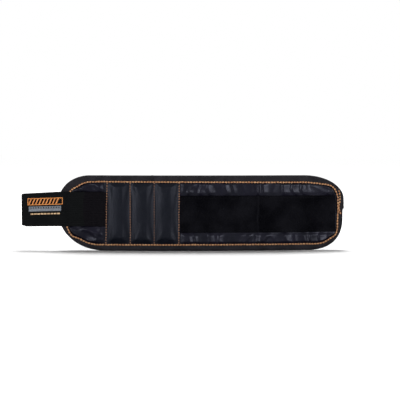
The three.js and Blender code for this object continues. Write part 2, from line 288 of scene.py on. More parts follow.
def sheet_slice(name, u, z, front, back, i0, i1, material, on_tab=False):
    """Columns i0 to i1 of a sheet given by grids, closed all round, with the whole sheet's normals."""
    part = slice(i0, i1 + 1)
    verts, normals = [], []
    for depth, way in ((front, 1), (back, -1)):
        p = lay(u, depth, z, on_tab)
        n = way * unit(np.cross(np.gradient(p, axis=0), np.gradient(p, axis=1)))
        verts.append(p[part].reshape(-1, 3))
        normals.append(n[part].reshape(-1, 3))
    nu, nz = u[part].shape
    faces = closed_faces(nu, nz)
    both = 2 * (nu - 1) * (nz - 1)
    corners = np.zeros((len(faces), 4, 3))
    corners[:both] = np.concatenate(normals)[faces[:both]]
    uv = flat_uv(u[part], z[part])
    return make(name, np.concatenate(verts), faces, np.concatenate([uv, uv]), material, corners.reshape(-1, 3))


def tube_faces(flat, rows, sides):
    """Faces of a tube and of its two ends, turned outwards."""
    idx = np.arange(rows * sides).reshape(rows, sides)
    nxt = np.roll(idx, -1, axis=1)
    quads = np.stack([idx[:-1], idx[1:], nxt[1:], nxt[:-1]], -1).reshape(-1, 4)
    arm = flat - flat.mean(0)
    tri = np.concatenate([quads[:, :3], quads[:, [0, 2, 3]]])
    volume = np.einsum("ij,ij->i", arm[tri[:, 0]], np.cross(arm[tri[:, 1]], arm[tri[:, 2]])).sum()
    if volume < 0:
        return quads[:, ::-1], [idx[0][::-1], idx[-1]]
    return quads, [idx[0], idx[-1][::-1]]


def tube_slice(name, p, uvs, i0, i1, material):
    """Rows i0 to i1 of a tube given by a grid of places (rows along it, a closed ring each)."""
    n = unit(np.cross(np.gradient(p, axis=0), np.roll(p, -1, axis=1) - np.roll(p, 1, axis=1)))
    if n[i0, 0] @ (p[i0, 0] - p[i0].mean(0)) < 0:
        n = -n
    part = slice(i0, i1 + 1)
    flat = p[part].reshape(-1, 3)
    quads, ends = tube_faces(flat, i1 + 1 - i0, p.shape[1])
    corners = list(n[part].reshape(-1, 3)[quads].reshape(-1, 3)) + [np.zeros(3)] * (2 * p.shape[1])
    return make(name, flat, [*quads, *ends], uvs[part].reshape(-1, 2), material, corners)


def spread(start, stop, step, exact=()):
    """Rising values about a step apart that hit each of the exact ones."""
    marks = sorted({float(start), float(stop), *[float(e) for e in exact if start < e < stop]})
    parts = [np.linspace(a, b, max(1, int(round((b - a) / step))) + 1)[:-1] for a, b in zip(marks, marks[1:])]
    return np.concatenate(parts + [[marks[-1]]])


def rim(at, way=1, count=3):
    """Closer places beside an edge, for its rounding."""
    return [at + way * 0.3 * i for i in range(1, count + 1)]


def between(cols, low, high, count):
    """Grids of u and z: count rows between a low and a high edge."""
    t = np.linspace(0, 1, count)
    return np.repeat(cols[:, None], count, 1), low[:, None] + (high - low)[:, None] * t[None, :]


def corner_cut(cols, tip):
    """How far the tab's small round corners take away from each side."""
    rest = (TAB_CORNER - (cols - tip)) / TAB_CORNER
    return np.where(cols < tip + TAB_CORNER, TAB_CORNER - np.sqrt(np.clip(1 - rest ** 2, 0, 1)) * TAB_CORNER, 0.0)


def edge_distance(u, z, across, up):
    """Distance inside a rectangle."""
    return np.minimum(np.minimum(z - up[0], up[1] - z), np.minimum(u - across[0], across[1] - u))


# ---------------------------------------------------------------- simulated cloth

CLOTH_SCALE = 0.01  # one millimetre is a centimetre in the simulation, where the cloth solver is at ease
CLOTH_FRAMES = 20
CLOTH = {"quality": 6, "mass": 0.25, "tension_stiffness": 12.0, "compression_stiffness": 12.0,
         "shear_stiffness": 6.0, "bending_stiffness": 0.5, "use_pressure": True}


def settle(name, u, y, z, pinned, push, slack, cap, outward, every=1):
    """A sheet given by grids, held where pinned is true, let go with spare cloth and pushed outwards.
    Gives its grids again after the simulation, no point moved by more than cap millimetres."""
    whole = np.stack(np.broadcast_arrays(u, y, z), -1).astype(float)
    rest, pinned = whole[::every, ::every], pinned[::every, ::every]
    nu, nz = rest.shape[:2]
    quads = grid_quads(nu, nz)[1]
    if outward > 0:
        quads = quads[:, ::-1]
    mesh = bpy.data.meshes.new(name)
    mesh.from_pydata([tuple(v) for v in rest.reshape(-1, 3) * CLOTH_SCALE], [], [tuple(q) for q in quads])
    obj = bpy.data.objects.new(name, mesh)
    scene = bpy.context.scene
    scene.collection.objects.link(obj)
    group = obj.vertex_groups.new(name="held")
    group.add([int(i) for i in np.where(pinned.ravel())[0]], 1.0, "REPLACE")
    cloth = obj.modifiers.new("cloth", "CLOTH")
    for key, value in CLOTH.items():
        setattr(cloth.settings, key, value)
    cloth.settings.effector_weights.gravity = 0
    cloth.settings.uniform_pressure_force = push
    cloth.settings.shrink_min = -slack
    cloth.settings.vertex_group_mass = "held"
    cloth.collision_settings.use_collision = False
    cloth.collision_settings.use_self_collision = False
    cloth.point_cache.frame_start = 1
    cloth.point_cache.frame_end = CLOTH_FRAMES + 1
    for frame_number in range(1, CLOTH_FRAMES + 1):
        scene.frame_set(frame_number)
    moved = np.zeros(len(mesh.vertices) * 3, np.float32)
    settled = obj.evaluated_get(bpy.context.evaluated_depsgraph_get())
    settled.data.vertices.foreach_get("co", moved)
    moved = moved.reshape(nu, nz, 3).astype(float) / CLOTH_SCALE
    bpy.data.objects.remove(obj)
    bpy.data.meshes.remove(mesh)
    scene.frame_set(1)
    change = np.nan_to_num(moved - rest)
    length = np.linalg.norm(change, axis=-1, keepdims=True)
    change *= cap * np.tanh(length / cap) / np.maximum(length, 1e-9)
    rows, cols = np.arange(whole.shape[0]), np.arange(whole.shape[1])
    change = np.stack([[np.interp(cols, cols[::every], line[:, i]) for line in change] for i in range(3)], -1)
    change = np.stack([[np.interp(rows, rows[::every], line) for line in change[..., i].T] for i in range(3)], -1)
    return (whole + change.transpose(1, 0, 2)).transpose(2, 0, 1)


# ---------------------------------------------------------------- materials

def linear(r, g, b):
    def one(c):
        c /= 255.0
        return c / 12.92 if c <= 0.04045 else ((c + 0.055) / 1.055) ** 2.4
    return one(r), one(g), one(b), 1.0


class Nodes:
    """Adds shader nodes to a material or world."""

    def __init__(self, owner):
        owner.use_nodes = True
        self.tree = owner.node_tree

    def put(self, socket, value):
        if isinstance(value, bpy.types.NodeSocket):
            self.tree.links.new(value, socket)
        else:
            socket.default_value = value

    def node(self, kind, *values, **named):
        """A new node: the values go into its first sockets, capitalised names are sockets and others settings."""
        n = self.tree.nodes.new("ShaderNode" + kind)
        for key, value in named.items():
            if key[0].isupper():
                self.put(n.inputs[key], value)
            else:
                setattr(n, key, value)
        for socket, value in zip(n.inputs, values):
            self.put(socket, value)
        return n

    def math(self, kind, *values):
        return self.node("Math", *values, operation=kind).outputs[0]

    def add(self, a, b):
        return self.math("ADD", a, b)

    def times(self, a, b):
        return self.math("MULTIPLY", a, b)


class Finish(Nodes):
    """A node material on the piece's flat coordinates in metres, or on the solid's own."""

    def __init__(self, name, rough, specular, metal=0.0, tint=(1, 1, 1, 1), solid=False):
        self.material = bpy.data.materials.new(name)
        super().__init__(self.material)
        self.shader = self.tree.nodes["Principled BSDF"]
        self.shade("Roughness", rough)
        self.shade("Specular IOR Level", specular)
        self.shade("Metallic", metal)
        self.shade("Specular Tint", tint)
        self.flat = self.node("TexCoord").outputs["Object"] if solid else self.node("UVMap").outputs[0]

    def shade(self, socket, value):
        self.put(self.shader.inputs[socket], value)

    def colour(self, value):
        self.shade("Base Color", value)

    def axes(self):
        """The flat coordinates one by one."""
        return self.node("SeparateXYZ", self.flat).outputs

    def stretched(self, su, sz, turn=0.0, shift=0.0):
        return self.node("Mapping", self.flat, Scale=(su, sz, 1), Rotation=(0, 0, turn),
                         Location=(shift, shift, 0)).outputs[0]

    def noise(self, scale, detail, rough=0.5):
        return self.node("TexNoise", noise_dimensions="2D", Vector=self.flat, Scale=scale, Detail=detail,
                         Roughness=rough).outputs["Fac"]

    def bands(self, period, axis="X", warp=0.0, vector=None):
        return self.node("TexWave", wave_type="BANDS", bands_direction=axis, wave_profile="SIN",
                         Vector=vector or self.flat, Scale=math.pi / 10 / period, Distortion=warp,
                         Detail=1.0).outputs["Fac"]

    def ramp(self, fac, low, dark, high, light):
        """Colours from dark at low to light at high."""
        n = self.node("ValToRGB", fac)
        for stop, at, colour in zip(n.color_ramp.elements, (low, high), (dark, light)):
            stop.position = at
            stop.color = colour
        return n.outputs["Color"]

    def cloud(self, scale, detail, *stops):
        return self.ramp(self.noise(scale, detail), *stops)

    def mix(self, fac, a, b, data="RGBA", first=6, out=2):
        n = self.node("Mix", fac, data_type=data)
        self.put(n.inputs[first], a)
        self.put(n.inputs[first + 1], b)
        return n.outputs[out]

    def weave(self, period):
        """Height of a plain weave with threads a period apart."""
        check = self.node("TexChecker", Vector=self.flat, Scale=1 / period).outputs["Fac"]
        return self.mix(check, self.bands(period), self.bands(period, "Y"), "FLOAT", 2, 0)

    def bump(self, height, distance, strength):
        self.shade("Normal", self.node("Bump", Strength=strength, Distance=distance, Height=height).outputs[0])


def nylon(name, dark, light, rough, specular, relief):
    """Coated woven cloth: fine weave, soft clouding, and a little less shine at the tab's end."""
    f = Finish(name, rough, specular, tint=(0.80, 0.83, 1.0, 1))
    weave = f.weave(0.0007)
    thread = tuple(c * 1.35 for c in dark[:3]) + (1,)
    f.colour(f.mix(f.times(weave, 0.35), f.cloud(55, 4, 0.3, dark, 0.72, light), thread))
    f.shade("Roughness", f.math("MULTIPLY_ADD", f.noise(140, 3), 0.16, rough - 0.08))
    shine = f.node("MapRange", f.axes()[0], 0.052, 0.066, 0.8 * specular, specular).outputs[0]
    f.shade("Specular IOR Level", shine)
    f.bump(f.add(weave, f.times(f.noise(300, 3), 1.5)), relief, 0.7)
    return f.material


def tape_material():
    f = Finish("binding_tape", 0.6, 0.1)
    ribs = f.bands(0.0011, "X", 0.3)
    tone = f.cloud(90, 3, 0.32, linear(11, 10, 14), 0.7, linear(29, 27, 31))
    f.colour(f.mix(f.times(ribs, 0.3), tone, linear(36, 34, 39)))
    f.bump(f.add(ribs, f.times(f.bands(0.0008, "Y"), 0.5)), 0.00022, 0.8)
    return f.material


def pile_material():
    """Looped pile, a little greyer along the crease: worn pile there, with a painted highlight of the crease's ridge.
    """
    f = Finish("loop_pile", 0.95, 0.03)
    fuzz = f.noise(900, 4, 0.7)
    # A lighter band along the crease, wandering a little: worn pile, and a painted highlight of the crease's ridge.
    wander = f.math("MULTIPLY_ADD", f.noise(60, 2), 0.003, f.axes()[0])
    off = f.math("ABSOLUTE", f.math("SUBTRACT", wander, CREASE_U * MM + 0.0015))
    rubbed_and_highlight = f.math("MAXIMUM", f.math("SUBTRACT", 1.0, f.math("DIVIDE", off, 0.0016)), 0.0)
    tone = f.cloud(38, 3, 0.32, linear(2, 2, 4), 0.7, linear(14, 14, 18))
    tone = f.mix(f.times(rubbed_and_highlight, f.noise(120, 2)), tone, linear(20, 20, 24))
    f.colour(f.mix(f.ramp(fuzz, 0.5, (0, 0, 0, 1), 0.8, (0.5, 0.5, 0.5, 1)), tone, linear(28, 28, 33)))
    f.bump(f.add(fuzz, f.times(f.noise(330, 3), 1.2)), 0.0005, 0.9)
    return f.material


def webbing_material():
    """Woven strap: ribs along it, and a darker, finer mottled colour from a bowed line to its sewn end: painted shade
    where the strap dips onto the cloth.
    """
    f = Finish("strap_webbing", 0.6, 0.04)
    ribs, picks = f.bands(0.0022, "Y", 0.25), f.bands(0.0009, "X", 0.2)
    along, height, _ = f.axes()
    # Beyond a bowed line 30 mm along the strap its colour is darker: painted shade of the strap's dip onto the cloth.
    up = f.math("SUBTRACT", height, 0.049)
    bowed = f.math("MULTIPLY_ADD", f.times(up, up), -6.0, along)
    sewn = f.times(f.math("SUBTRACT", bowed, 0.0300), 900.0)
    sewn = f.math("MINIMUM", f.math("MAXIMUM", sewn, 0.0), 1.0)
    tone = f.cloud(70, 3, 0.3, linear(3, 4, 5), 0.75, linear(8, 9, 10))
    tone = f.mix(f.times(picks, 0.22), tone, linear(19, 20, 22))
    f.colour(f.mix(sewn, tone, f.cloud(500, 3, 0.35, linear(2, 1, 4), 0.75, linear(9, 7, 11))))
    f.bump(f.add(ribs, f.times(picks, 0.6)), 0.0003, 0.7)
    return f.material


def lining_material():
    """Knitted spacer mesh: rows of small round holes, half a pitch apart from row to row, painted dark inside as the
    shade in them.
    """
    f = Finish("mesh_lining", 0.8, 0.1)
    hole = f.math("MINIMUM", *[
        f.node("TexVoronoi", voronoi_dimensions="2D", feature="F1", Scale=1.0, Randomness=0.0,
               Vector=f.stretched(1 / 0.0036, 1 / 0.0026, shift=shift)).outputs["Distance"]
        for shift in (0.0, 0.5)])
    knit = f.noise(1500, 2)
    body = f.cloud(60, 3, 0.3, linear(20, 20, 23), 0.75, linear(32, 32, 36))
    depth = f.ramp(hole, 0.20, (0, 0, 0, 1), 0.33, (1, 1, 1, 1))
    # The holes are coloured near black: painted shade in them.
    f.colour(f.mix(depth, linear(7, 7, 9), f.mix(f.times(knit, 0.5), body, linear(52, 52, 58))))
    f.bump(f.add(depth, f.times(knit, 0.35)), 0.0006, 0.9)
    return f.material


def hook_material():
    f = Finish("hook_tape", 0.5, 0.2)
    grid = f.weave(0.0009)
    tone = f.cloud(120, 2, 0.3, linear(15, 15, 17), 0.7, linear(25, 25, 28))
    f.colour(f.mix(f.times(grid, 0.4), tone, linear(38, 38, 42)))
    f.bump(grid, 0.0002, 0.7)
    return f.material


def thread_material(name, dark, light, specular=0.25):
    """Twisted thread: plies run aslant along each stitch, their crowns painted light and the grooves between them
    dark: painted highlight and shade.
    """
    f = Finish(name, 0.5, specular)
    twist = f.bands(0.0007, vector=f.stretched(1.0, 1.0, turn=0.7))
    # Colour from dark in the grooves to light on the plies: painted shade and painted highlight.
    f.colour(f.mix(f.times(f.noise(260, 2), 0.9), f.ramp(twist, 0.15, dark, 0.8, light), dark))
    f.bump(twist, 0.0002, 0.6)
    return f.material


def print_material(name, dark, light):
    """Thin rubbery print with a little mottle."""
    f = Finish(name, 0.55, 0.3)
    f.colour(f.cloud(900, 3, 0.32, dark, 0.6, light))
    f.bump(f.weave(0.0009), 0.00008, 0.6)
    return f.material


def metal_material():
    f = Finish("magnet_metal", 0.3, 0.5, metal=1.0, solid=True)
    f.colour(f.cloud(300, 3, 0.3, linear(150, 152, 158), 0.7, linear(190, 192, 198)))
    f.shade("Roughness", f.math("MULTIPLY_ADD", f.noise(700, 3), 0.25, 0.2))
    return f.material


def plastic_material():
    f = Finish("carrier_plastic", 0.55, 0.4, solid=True)
    f.colour(f.cloud(200, 3, 0.3, linear(196, 196, 190), 0.7, linear(222, 222, 216)))
    f.bump(f.noise(1200, 2), 0.0001, 0.5)
    return f.material


NYLON = nylon("face_nylon", linear(6, 6, 13), linear(14, 12, 23), 0.32, 0.151, 0.000016)
CELL = nylon("cell_nylon", linear(4, 6, 12), linear(9, 11, 18), 0.33, 0.125, 0.00004)
TAPE = tape_material()
PILE = pile_material()
WEBBING = webbing_material()
LINING = lining_material()
HOOK = hook_material()
# Threads: each dark and light colour is the plies' painted shade and painted highlight.
ORANGE = thread_material("orange_thread", linear(118, 60, 26), linear(255, 208, 156))
COPPER = thread_material("copper_thread", linear(92, 58, 42), linear(184, 142, 112))
BLACK = thread_material("black_thread", linear(7, 7, 9), linear(16, 16, 19), 0.06)
PRINT_ORANGE = print_material("print_orange", linear(172, 96, 40), linear(210, 138, 74))
PRINT_TAN = print_material("print_tan", linear(166, 128, 92), linear(214, 182, 142))
PRINT_GREY = print_material("print_grey", linear(88, 92, 99), linear(116, 121, 129))
METAL = metal_material()
PLASTIC = plastic_material()

for name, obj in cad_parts.items():
    if name.startswith("magnet_"):
        obj.data.materials.clear()
        obj.data.materials.append(PLASTIC if "carrier" in name else METAL)

# ---------------------------------------------------------------- surfaces of the layers, in flat depths

# Cells' stitch lines: the shift and slant of each, the radius of its thread and how deep it is drawn in
CELL_LINES = ((0.9, 0.9, 0.66, 0.0), (0.4, 0.0, 0.66, 0.0), (0.0, 0.1, 0.56, 0.2), (0.5, 0.3, 0.66, 0.0))
# Lengths over which the cover of each cell rises after one line and falls before the next
CELL_SLOPES = (11.5, 8.5, 9.5), (13.0, 11.0, 11.5)
# Dents of the cells' cover: place, half lengths and depth
DENTS = [(72, 12.0, 7, 4.0, 0.9), (129, 12.0, 7, 4.0, 0.9), (98, 79, 7, 4, 0.4), (74, 60, 5, 1.6, 0.3),
         (103, 62, 6, 1.5, 0.25)]
# Folds of the bare cloth, each from one flat point to another, with its half width and height
FOLDS = [
    ((221, 80), (226.5, 66), 1.6, 0.9), ((236.3, 82), (236.8, 66), 1.1, 0.8), ((243.6, 82), (243.0, 66), 1.1, 0.7),
    ((306, 78), (331, 65), 2.0, 1.1), ((293, 81), (301, 66), 1.6, 0.7), ((262, 82), (257, 66), 1.5, 0.8),
    ((199, 82), (203, 66), 1.5, 0.7), ((170, 66), (150, 72), 1.6, 0.9), ((176, 82), (183, 70), 1.4, 0.6),
    ((276, 67), (283, 82), 1.6, 0.8), ((148, 80), (166, 76), 1.5, 0.7), ((315, 80), (333, 73), 1.5, 0.8),
    ((170.5, 7), (170.0, 21), 0.8, 0.9), ((200, 8), (206, 20), 1.5, 0.9), ((222, 8), (232, 20), 1.7, 0.9),
    ((239.8, 22), (231, 8), 1.3, 1.0), ((239.8, 22), (248.5, 8), 1.3, 1.0), ((262, 8), (254, 20), 1.5, 0.7),
    ((285, 7), (284, 21), 1.2, 1.1), ((298, 7), (293, 20), 1.3, 0.9), ((298, 7), (304, 18), 1.2, 0.7),
    ((318, 10), (331, 20), 1.5, 0.9), ((270, 21), (279, 9), 1.4, 0.6), ((150, 20), (162, 9), 1.4, 0.7),
    ((184, 21), (190, 8), 1.5, 0.6), ((16, 24), (30, 14), 1.4, 0.9), ((30, 27), (52, 20), 1.5, 0.9),
    ((36, 12), (54, 14), 1.4, 0.7), ((50, 8), (44, 22), 1.3, 0.6), ((24, 76), (38, 71), 1.4, 0.9),
    ((40, 82), (55, 74), 1.6, 0.9), ((48, 70), (56, 80), 1.2, 0.6),
]
# Broad swells of the tab end's bare cloth: place, half lengths, slant and rise
SWELLS = [(24, 21, 6.0, 5, 0.6, 0.9), (44, 20, 6.0, 5, 0.4, 0.7), (34, 77, 6.0, 5, 0.3, 1.2),
          (51, 77, 4.5, 5, -0.3, 1.0)]
# Facets of the bare cloth above and below the strip: places along the band and the cloth's rise there
TOP_FACETS = np.array([
    (146, 0.5), (157, 0.4), (159, 1.8), (165, 0.2), (170, 0.4), (172, 2.1), (178, 0.2), (179.5, 2.2), (187, 0.2),
    (194, 0.2), (201, 1.3), (208, 0.2), (209.5, 1.2), (215, 0.3), (222, 0.3), (236, 1.6), (243, 0.6), (244.5, 1.6),
    (252, 0.0), (256, 0.1), (267, 0.3), (270, 2.1), (280, 0.3), (282, 2.1), (291, 0.4), (293, 2.0), (303, 0.2),
    (312, 0.3), (325, 1.6), (330, 0.4), (331.5, 1.3), (337, 0.1),
]).T
BOTTOM_FACETS = np.array([
    (146, 0.5), (157, 2.1), (162, 0.7), (163.5, 2.1), (169.5, 0.2), (180, 0.3), (182, 2.0), (188.5, 0.2), (191, 0.3),
    (193, 1.9), (199, 0.3), (207, 0.4), (219, 1.6), (224, 0.5), (225.5, 1.3), (230, 0.2), (236, 0.4), (246, 1.6),
    (253, 0.2), (260, 0.4), (271, 2.1), (281, 0.3), (288, 0.6), (297, 1.7), (302, 0.4), (304, 2.1), (314, 0.3),
    (316, 2.0), (325, 0.3), (326.5, 1.2), (331, 0.1),
]).T
FOLD_LIMIT, LIMIT_SHARPNESS = 3.0, 3.0
# Dents across the strip: place, from, to and depth
STRIP_DENTS = ((285.8, 27, 42, 0.7), (306.4, 26, 38, 0.6), (316.2, 27, 36, 0.5), (292, 24, 33, 0.35))


def facets(u, z, table, middle, seed):
    """Rise of cloth creased into facets that lean from each crease to the next."""
    at = u + 1.3 * noise(u / 26, 0.5, seed) * (z - middle) + 2.0 * noise(u / 24, z / 8, seed + 1)
    return sum(weight * np.interp(at + shift, *table) for shift, weight in ((-0.8, 1), (0, 2), (0.8, 1))) / 4


def crinkle(u, z):
    """Crumpled cloth: the larger folds and swells, with small creases between them."""
    height = np.zeros_like(u)
    for (au, az), (bu, bz), half, tall in FOLDS:
        du, dz = bu - au, bz - az
        t = np.clip(((u - au) * du + (z - az) * dz) / (du * du + dz * dz), 0, 1)
        off_u, off_z = u - au - t * du, z - az - t * dz
        off = off_u * dz / math.hypot(du, dz) - off_z * du / math.hypot(du, dz)
        ridge = tall * np.exp(-(np.hypot(off_u, off_z) / (1.9 * half)) ** 1.5)
        height = np.maximum(height, ridge * (1 + 0.3 * np.tanh(off / half)))
    for *place, tall in SWELLS:
        height = height + tall * mound(u, z, *place)
    small = (0.5 * creases(u / 12 - 0.4 * z / 14, z / 13, 8) ** 2
             + 0.6 * creases(u / 21 + 0.5 * z / 17, z / 16, 3) ** 3)
    return height + small - 0.2


def crease(u, z):
    """The sharp fold where the band was kept folded in two: a ridge between two hollows."""
    x = u - CREASE_U - 0.8 * noise(z / 14, 0.5, 21)
    return 1.15 * np.exp(-(np.abs(x) / 1.1) ** 1.4) - 0.55 * np.exp(-((np.abs(x) - 4.0) / 2.4) ** 2)


def face_front(u, z, d, s):
    """Depth of the outer cloth: crumpled where it is bare, flat under what is sewn on it."""
    bare = smooth((d - stitch_inset(s) - 0.6) / 2.7)
    from_strip = np.maximum(STRIP_Z[0] - z, z - STRIP_Z[1])
    from_strap = np.maximum(STRAP_Z[0] - z, z - STRAP_Z[1])
    under = np.maximum(window(u, STRIP_U[0] - 1, STRIP_U[1] + 1, 2) * smooth(1 - from_strip / 4),
                       smooth((END_U + 1 - u) / 2) * smooth(1 - from_strap / 3))
    free = bare * (1 - under) * (1 - window(u, END_U - 7, CELLS_U[3] + 7, 6))
    pulled = creases(u / 8.5 + 0.2 * noise(u / 17, z / 9, 31), 0.3 * z / 8, 12)
    pulled = np.exp(-np.maximum(d - 7.5, 0) / 4.5) * pulled
    beyond = smooth((u - CELLS_U[3] + 2) / 4)
    leaning = np.where(z > MIDDLE, facets(u, z, TOP_FACETS, 73, 13), facets(u, z, BOTTOM_FACETS, 14, 15))
    height = (1.3 - 0.85 * beyond) * crinkle(u, z) + beyond * leaning + 0.3 * pulled + 1.2 * crease(u, z)
    height = np.logaddexp(0.0, LIMIT_SHARPNESS * height) / LIMIT_SHARPNESS
    height = FOLD_LIMIT - np.logaddexp(0.0, LIMIT_SHARPNESS * (FOLD_LIMIT - height)) / LIMIT_SHARPNESS
    return -(0.2 + height) * free


def cell_line(i, z):
    """Place along the band of stitch line i at the height z, a little aslant and unsteady as sewn."""
    shift, slant = CELL_LINES[i][:2]
    return CELLS_U[i] + shift + slant * (z - MIDDLE) / 37 + 0.15 * noise(z / 9, i + 0.5, 95)


def cell_front(u, z):
    """Depth of the cells' cover: one soft crown a cell over its magnets, pulled in along every stitch line."""
    lines = np.array([cell_line(i, z) for i in range(4)])
    cell = (u > lines[1]).astype(int) + (u > lines[2])
    after = u - np.choose(cell, lines[:3])
    before = np.choose(cell, lines[1:]) - u
    beside = np.maximum(np.minimum(after, before), 0.0)
    end = np.minimum(z - CELL_LOW, CELL_HIGH - z)
    full = 1.0
    for way, slopes in zip((after, before), CELL_SLOPES):
        full = full * smooth((way + 0.6) / np.array(slopes)[cell]) ** 0.8
    full = full * smooth((end + 0.5) / 7.0) ** 0.8
    pucker = np.exp(-beside / 3.0) * (1 - np.exp(-beside / 0.5)) * 0.16 * noise(cell * 7.3 + u / 60, z / 5.0, 41)
    gather = np.exp(-np.maximum(end, 0) / 4.5) * 0.45 * noise(u / 4.5, cell + z / 30, 43)
    slack = full * (0.16 * noise(u / 7.5, z / 60, 45) + 0.10 * noise(u / 13, z / 24, 47))
    depth = CHANNEL + (CROWN - CHANNEL) * full - (pucker + gather) * (1 - 0.7 * full) - slack
    for *place, deep in DENTS:
        depth = depth + deep * mound(u, z, *place)
    middle = np.minimum(beside - 7.0, end - 7.0)
    return np.minimum(depth, -1.15 + 0.45 * smooth(0.5 - middle))


def strip_front(u, z):
    """Depth of the loop strip's pile, with its dents, its crease and the dip of its seam."""
    fuzz = 0.10 * noise(u / 1.7, z / 1.7, 51) + 0.08 * noise(u / 4, z / 5, 52)
    soft = 0.18 * noise(u / 26, z / 20, 53)
    lines = 0.0
    for at, low, high, deep in STRIP_DENTS:
        across = u - at - 0.5 * noise(z / 6, at, 55)
        dent = np.exp(-(across / 0.9) ** 2) - 0.6 * np.exp(-((across - 1.9) / 1.1) ** 2)
        lines = lines + deep * dent * near(z, (low + high) / 2, (high - low) / 2)
    edge = edge_distance(u, z, STRIP_U, STRIP_Z)
    rounding = 0.75 * np.clip(1 - np.maximum(edge, 0) / 1.1, 0, 1) ** 2
    seam = 0.4 * np.exp(-((edge - 2.6) / 0.7) ** 2)
    folded = crease(u, z) * (0.12 + 0.4 * near(z, 54, 16))
    return STRIP_FACE + fuzz + soft - folded + lines * 1.3 + rounding + seam


def strap_low(u):
    return STRAP_Z[0] - 0.5 + 0.2 * smooth(-u / 44)


def strap_high(u):
    return STRAP_Z[1] + 0.9 - 2.6 * np.clip(u / TAB_TIP, -0.1, 1)


def strap_front(u, z):
    """Depth of the strap's face: over the tape at the edge, then down onto the cloth."""
    d, _ = depth_in(np.maximum(u, 0.5), z)
    d = np.where(u < 0.5, 0, d)
    over = 1 - smooth((d - 8.4) / 2.6) * smooth((u - 3) / 5)
    edge = np.minimum(z - strap_low(u), strap_high(u) - z)
    rounding = 0.45 * np.clip(1 - np.maximum(edge, 0) / 0.9, 0, 1) ** 2
    soft = 0.12 * noise(u / 12, z / 14, 61) + 0.12 * noise(u / 30, z / 25, 62)
    sewn = 0.5 * smooth((u - 50) / 8)
    return STRAP_FACE - 1.1 * over + rounding + soft + sewn


def lining_back(u, z, d):
    """Depth of the padded lining on the wrist side: soft pads between the seams."""
    pad = 2.75 + 1.25 * smooth((d - 8.0) / 7) ** 0.8
    pucker = 0.0
    for at in CELLS_U:
        pad = pad - 1.15 * np.exp(-np.abs(u - at) / 3.2)
        pucker = pucker + 0.3 * np.exp(-np.abs(u - at) / 4) * noise(z / 3.2, at, 73)
    soft = 0.22 * noise(u / 22, z / 24, 71) + 0.12 * noise(u / 8, z / 9, 72)
    hem = 0.35 * np.exp(-np.maximum(d - 8, 0) / 4) * noise(u / 4.5, z / 4.5, 74)
    return pad + (soft + pucker + hem) * smooth((d - 6) / 4) - 0.55 * crease(u, z) * smooth((d - 8) / 4)


# ---------------------------------------------------------------- the sheets

def inset_sheet(inset, exact):
    """Columns of the outline's shape drawn in by a distance, and its grids of u and z."""
    p, n = on_outline(fine_s)
    q = p + n * inset
    left = np.argmin(q[:, 0])
    low, high = q[: left + 1][::-1], q[left:]
    first, last = q[:, 0].min() + 0.02, q[:, 0].max() - 0.02
    closer = [e for k in range(1, 4) for e in (first + 0.25 * k * k, last - 0.25 * k * k)]
    cols = np.unique(np.round(np.concatenate([spread(first, last, 1.0, exact), closer]), 4))
    return cols, *between(cols, np.interp(cols, *low.T), np.interp(cols, *high.T), int(WIDTH))


def band_slices(cols):
    """(hinge, first column, last column) of each slice, cut at the middles of the links."""
    marks = [cols[0], *[c for c in CUTS if cols[0] < c < cols[-1]], cols[-1]]
    for a, b in zip(marks, marks[1:]):
        i0, i1 = (int(np.argmin(np.abs(cols - c))) for c in (a, b))
        yield int(np.searchsorted(CUTS, (a + b) / 2)), i0, i1


def cloth_piece(name, grids, i0, i1, material, nodes, on_tab=False):
    """A slice of a sheet in place of some solids, which are hidden."""
    piece = sheet_slice(name, *grids, i0, i1, material, on_tab)
    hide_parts(*nodes)
    return piece


def cloth_pieces(name, cols, grids, material, solid, kind="", first=1):
    """The slices of a sheet that runs over the links of a kind, numbered along the band from first."""
    for k, i0, i1 in band_slices(cols):
        runs = cols[i0] < HINGE_U[k] - 1, cols[i1] > HINGE_U[k] + 1
        links = [link for link, run_over in zip(LINKS[k:k + 2], runs) if run_over and link.startswith(kind)]
        nodes = [solid + link[len(kind):] for link in links]
        bend(cloth_piece("%s_%d" % (name, k + first), grids, i0, i1, material, nodes), k)


# Face cloth and lining
cols, u, z = inset_sheet(1.1, [*CUTS, *HINGE_U, CREASE_U])
d, s = depth_in(u, z)
front = face_front(u, z, d, s)
back = np.full_like(front, FACE_BACK)
cloth_pieces("face_cloth", cols, (u, z, front, back), NYLON, "face_fabric_")

front = np.full_like(front, PAD_FRONT)
back = lining_back(u, z, d)
sewn = np.min([np.abs(u - at) for at in CELLS_U], axis=0) < 1.2
_, back, _ = settle("lining_cloth", u, back, z, sewn | (d < 8.5), 1.0, 0.03, 1.0, 1, every=2)
cloth_pieces("lining_pad", cols, (u, z, front, back), LINING, "mesh_lining_")

# Cells: the cover is settled, then kept clear of the magnets
cols = spread(CELLS_U[0] - 1.6, CELLS_U[3] + 1.6, 0.8, [*CUTS, *CELLS_U])
u, z = np.meshgrid(cols, spread(2.0, 88.0, 0.95), indexing="ij")
front = cell_front(u, z)
lines = np.array([cell_line(i, z) for i in range(4)])
held = (np.abs(u - lines).min(0) < 0.6) | (u < lines[0]) | (u > lines[3]) | (z < CELL_LOW) | (z > CELL_HIGH)
beside = (np.abs((u - CELLS_U[0]) % CELL_LENGTH - CELL_LENGTH / 2) - 5.2) / 5.5
beyond = (np.abs(z - MIDDLE) - 29.0) / 6.0
lowest = -3.35 + 3.0 * smooth(np.clip(beside, 0, 1) + np.clip(beyond, 0, 1))
u, front, z = settle("cover_cloth", u, front, z, held, 1.0, -0.004, 0.8, -1)
front = -np.logaddexp(-4 * front, -4 * lowest) / 4
back = np.minimum(front + COVER_THICK, -0.3)
front = np.minimum(front, back - 0.3)
cloth_pieces("cover_pad", cols, (u, z, front, back), CELL, "cell_cover_", "cell_")

